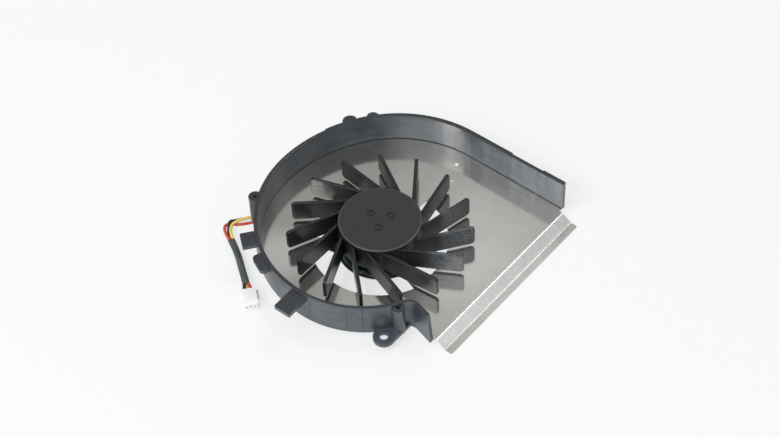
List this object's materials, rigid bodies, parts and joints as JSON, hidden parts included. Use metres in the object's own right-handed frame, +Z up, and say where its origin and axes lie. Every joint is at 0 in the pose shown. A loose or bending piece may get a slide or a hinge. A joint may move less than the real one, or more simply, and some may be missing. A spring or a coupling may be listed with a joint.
{
  "type": "laptop blower fan",
  "caption": "Flat centrifugal blower with an open moulded volute, a bladed impeller on a small motor, a bright steel base plate with a stepped outlet lip, and a short lead.",
  "frame": {"origin": "fan axis, at the underside of the motor seat, on which the fan rests", "axes": "+Z up along the fan axis, +X towards the air outlet, +Y towards the volute's far wall"},
  "size_m": [0.0871, 0.0912, 0.0138],
  "materials": {
    "frame_plastic": "satin black moulded plastic",
    "impeller_plastic": "satin black moulded plastic",
    "plate_steel": "bright cold-rolled steel, near mirror",
    "yoke_steel": "drawn steel",
    "shaft_steel": "ground steel",
    "core_steel": "stacked laminations",
    "magnet": "matt sintered ferrite",
    "brass": "turned brass",
    "bronze": "sintered bronze, oiled",
    "copper": "enamelled winding wire",
    "insulator": "natural nylon",
    "pad_plastic": "wear pad",
    "film": "insulating film",
    "board": "green solder mask",
    "chip": "moulded chip body",
    "ceramic": "ceramic with plated ends",
    "wire_yellow": "soft wire insulation",
    "wire_red": "soft wire insulation",
    "wire_black": "soft wire insulation",
    "sleeve_black": "shrink tube",
    "connector_nylon": "natural white nylon",
    "terminal_tin": "tin plate"
  },
  "bodies": {
    "fan_body": {"volute_frame": "frame_plastic", "base_plate": "plate_steel", "bearing_holder": "brass", "bearing_sleeve": "bronze", "thrust_pad": "pad_plastic", "stator_core": "core_steel", "insulator_lower": "insulator", "insulator_upper": "insulator", "stator_coil_1": "copper", "stator_coil_2": "copper", "stator_coil_3": "copper", "stator_coil_4": "copper", "insulation_sheet": "film", "motor_pcb": "board", "drive_ic": "chip", "hall_sensor": "chip", "capacitor": "ceramic", "wire_yellow": "wire_yellow", "wire_red": "wire_red", "wire_black": "wire_black", "wire_sleeve": "sleeve_black", "connector_housing": "connector_nylon", "terminal_1": "terminal_tin", "terminal_2": "terminal_tin", "terminal_3": "terminal_tin"},
    "rotor": {"impeller": "impeller_plastic", "rotor_yoke": "yoke_steel", "rotor_magnet": "magnet", "rotor_shaft": "shaft_steel", "retaining_washer": "pad_plastic"}
  },
  "joints": [
    {"name": "impeller_spin", "type": "hinge", "parent": "fan_body", "child": "rotor", "pos_m": [0, 0, 0.006], "axis": [0, 0, 1], "continuous": true}
  ]
}
